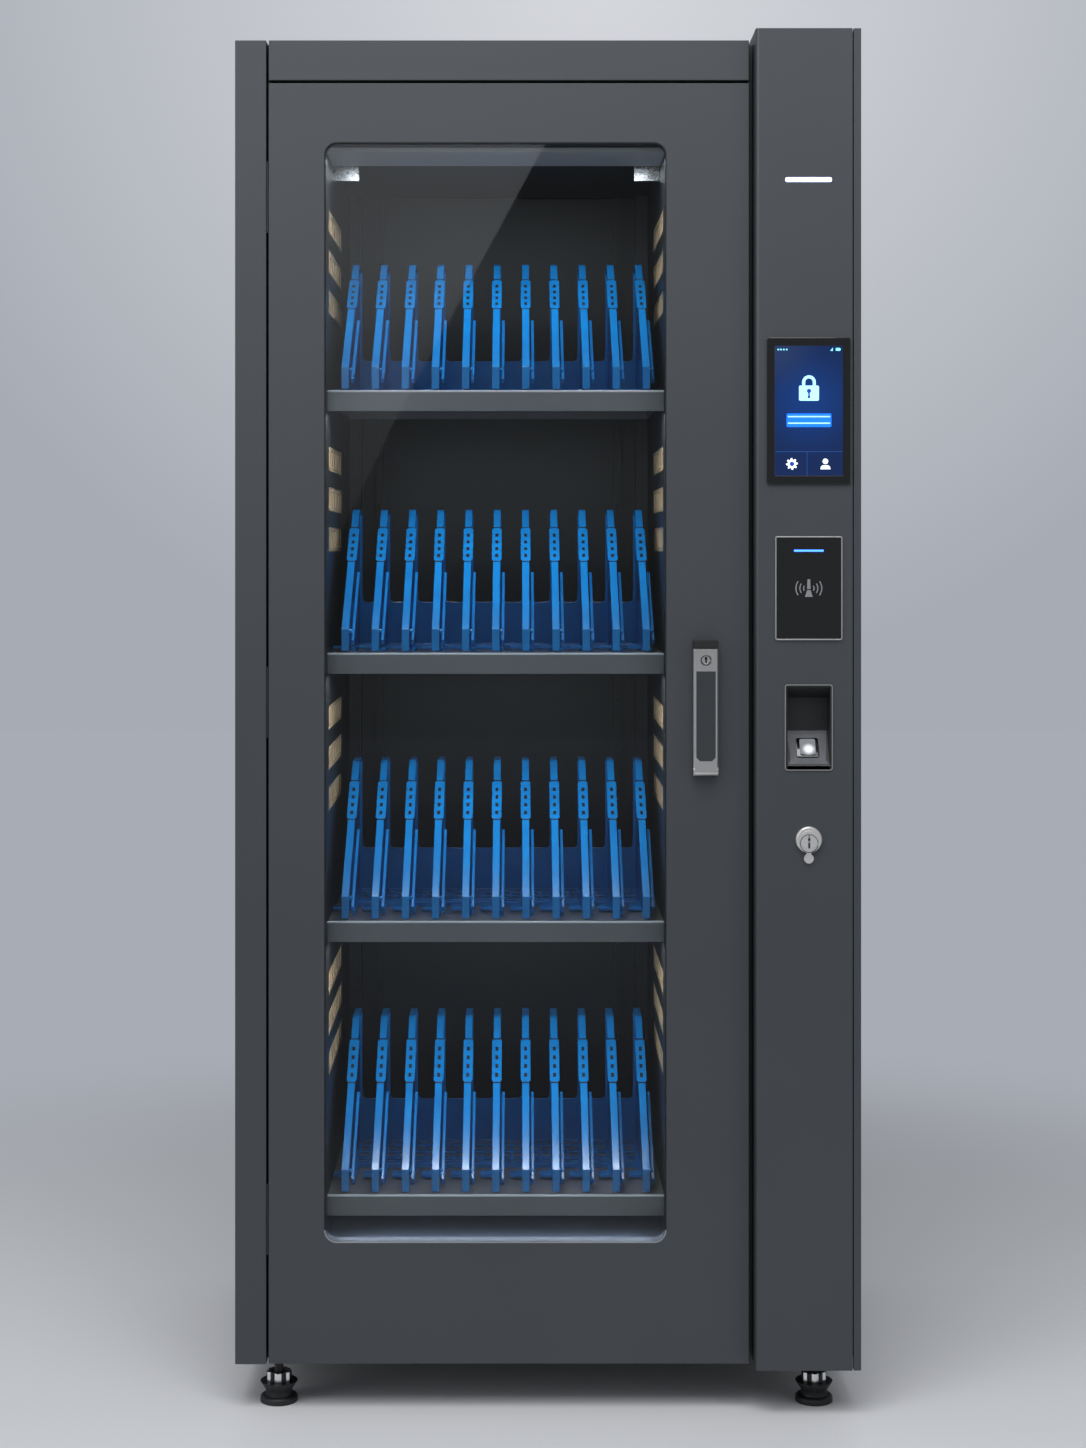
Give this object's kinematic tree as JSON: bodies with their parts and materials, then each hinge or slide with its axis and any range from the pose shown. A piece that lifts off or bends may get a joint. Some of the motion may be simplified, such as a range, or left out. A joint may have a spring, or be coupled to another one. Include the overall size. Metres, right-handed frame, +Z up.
{
  "type": "laptop charging cabinet",
  "caption": "Tall dark steel charging cabinet with a glazed door, shelves of upright blue divider racks, and a side control column.",
  "frame": {"origin": "on the floor, under the middle of the whole cabinet's width and depth", "axes": "+Z up, +X to the right as seen from the front, +Y from the front to the back"},
  "size_m": [0.842, 0.6223, 1.863],
  "materials": {
    "outer_paint": "fine-textured anthracite powder coat",
    "inner_paint": "satin dark grey powder coat",
    "base_paint": "satin black paint",
    "satin_steel": "satin steel",
    "zinc_steel": "bright zinc plating",
    "handle_metal": "satin die-cast metal",
    "chrome_metal": "polished",
    "blue_plastic": "glossy moulded plastic",
    "outlet_plastic": "matt beige plastic",
    "black_plastic": "fine-grained black plastic",
    "dark_inlay": "satin dark grey",
    "black_gloss": "gloss black",
    "display_glass": "lit glass",
    "sensor_glass": "lit glass",
    "light_lens": "frosted lens",
    "pane_glass": "clear toughened glass",
    "seal_rubber": "matt black rubber",
    "grille_steel": "satin black paint",
    "foot_black": "black moulded pad with a steel stud"
  },
  "bodies": {
    "cabinet": {"base_frame": "base_paint", "left_side_panel": "outer_paint", "right_side_panel": "inner_paint", "front_frame": "inner_paint", "header_fascia": "outer_paint", "top_panel": "outer_paint", "bottom_panel": "inner_paint", "back_panel": "outer_paint", "left_lining": "inner_paint", "right_lining": "inner_paint", "outlet_banks": "outlet_plastic", "rear_wall": "inner_paint", "rear_uprights": "inner_paint", "interior_ceiling": "inner_paint", "interior_floor": "satin_steel", "ceiling_light": "light_lens", "corner_brackets": "zinc_steel", "power_supply": "zinc_steel", "controller_unit": "base_paint", "fan_housing": "black_plastic", "fan_grille": "grille_steel", "mains_inlet": "black_plastic", "hinge_frame_leaves": "zinc_steel", "shelf_brackets": "satin_steel", "shelves": "inner_paint", "trays": "blue_plastic", "dividers_1": "blue_plastic", "dividers_2": "blue_plastic", "dividers_3": "blue_plastic", "dividers_4": "blue_plastic", "column_shell": "outer_paint", "column_front": "outer_paint", "status_light": "light_lens", "screen_bezel": "black_gloss", "screen_display": "display_glass", "reader_body": "black_gloss", "reader_rim": "chrome_metal", "fingerprint_housing": "black_plastic", "fingerprint_sensor": "sensor_glass", "override_lock": "handle_metal", "electric_lock": "zinc_steel"},
    "door": {"door_skin": "outer_paint", "door_inner_panel": "inner_paint", "door_glass": "pane_glass", "door_glass_seal": "seal_rubber", "door_seal": "seal_rubber", "hinge_door_leaves": "zinc_steel", "handle_plate": "black_plastic"},
    "handle_turn_body": {"handle_spindle": "zinc_steel"},
    "handle_lever_body": {"handle_lever": "handle_metal", "handle_inlay": "dark_inlay"},
    "handle_key_body": {"handle_key": "chrome_metal"},
    "override_plug_body": {"override_plug": "chrome_metal"},
    "lock_bolt_body": {"lock_bolt": "zinc_steel"},
    "fan_rotor_body": {"fan_rotor": "black_plastic"},
    "mains_rocker_body": {"mains_rocker": "black_plastic"},
    "foot_body_1": {"foot_1": "foot_black"},
    "foot_body_2": {"foot_2": "foot_black"},
    "foot_body_3": {"foot_3": "foot_black"},
    "foot_body_4": {"foot_4": "foot_black"}
  },
  "joints": [
    {"name": "door_swing", "type": "hinge", "parent": "cabinet", "child": "door", "pos_m": [-0.37725, -0.278, 0.93], "axis": [0, 0, -1], "range_deg": [0, 110]},
    {"name": "handle_turn", "type": "hinge", "parent": "door", "child": "handle_turn_body", "pos_m": [0.2135, -0.27, 0.867], "axis": [0, -1, 0], "range_deg": [0, 90]},
    {"name": "lever_swing_out", "type": "hinge", "parent": "handle_turn_body", "child": "handle_lever_body", "pos_m": [0.2135, -0.2909, 0.867], "axis": [1, 0, 0], "range_deg": [0, 30]},
    {"name": "handle_key_turn", "type": "hinge", "parent": "handle_lever_body", "child": "handle_key_body", "pos_m": [0.2135, -0.2949, 1.0158], "axis": [0, 1, 0], "range_deg": [0, 90]},
    {"name": "override_turn", "type": "hinge", "parent": "cabinet", "child": "override_plug_body", "pos_m": [0.3505, -0.29, 0.776], "axis": [0, 1, 0], "range_deg": [0, 90]},
    {"name": "bolt_slide", "type": "slide", "parent": "cabinet", "child": "lock_bolt_body", "axis": [-1, 0, 0], "range_m": [0, 0.014]},
    {"name": "fan_spin", "type": "hinge", "parent": "cabinet", "child": "fan_rotor_body", "pos_m": [-0.0695, 0.297, 1.64], "axis": [0, 1, 0], "continuous": true},
    {"name": "rocker_tip", "type": "hinge", "parent": "cabinet", "child": "mains_rocker_body", "pos_m": [-0.0575, 0.3033, 0.15], "axis": [1, 0, 0], "range_deg": [-9, 9]},
    {"name": "foot_level_1", "type": "slide", "parent": "cabinet", "child": "foot_body_1", "axis": [0, 0, 1], "range_m": [0, 0.01]},
    {"name": "foot_level_2", "type": "slide", "parent": "cabinet", "child": "foot_body_2", "axis": [0, 0, 1], "range_m": [0, 0.01]},
    {"name": "foot_level_3", "type": "slide", "parent": "cabinet", "child": "foot_body_3", "axis": [0, 0, 1], "range_m": [0, 0.01]},
    {"name": "foot_level_4", "type": "slide", "parent": "cabinet", "child": "foot_body_4", "axis": [0, 0, 1], "range_m": [0, 0.01]}
  ]
}
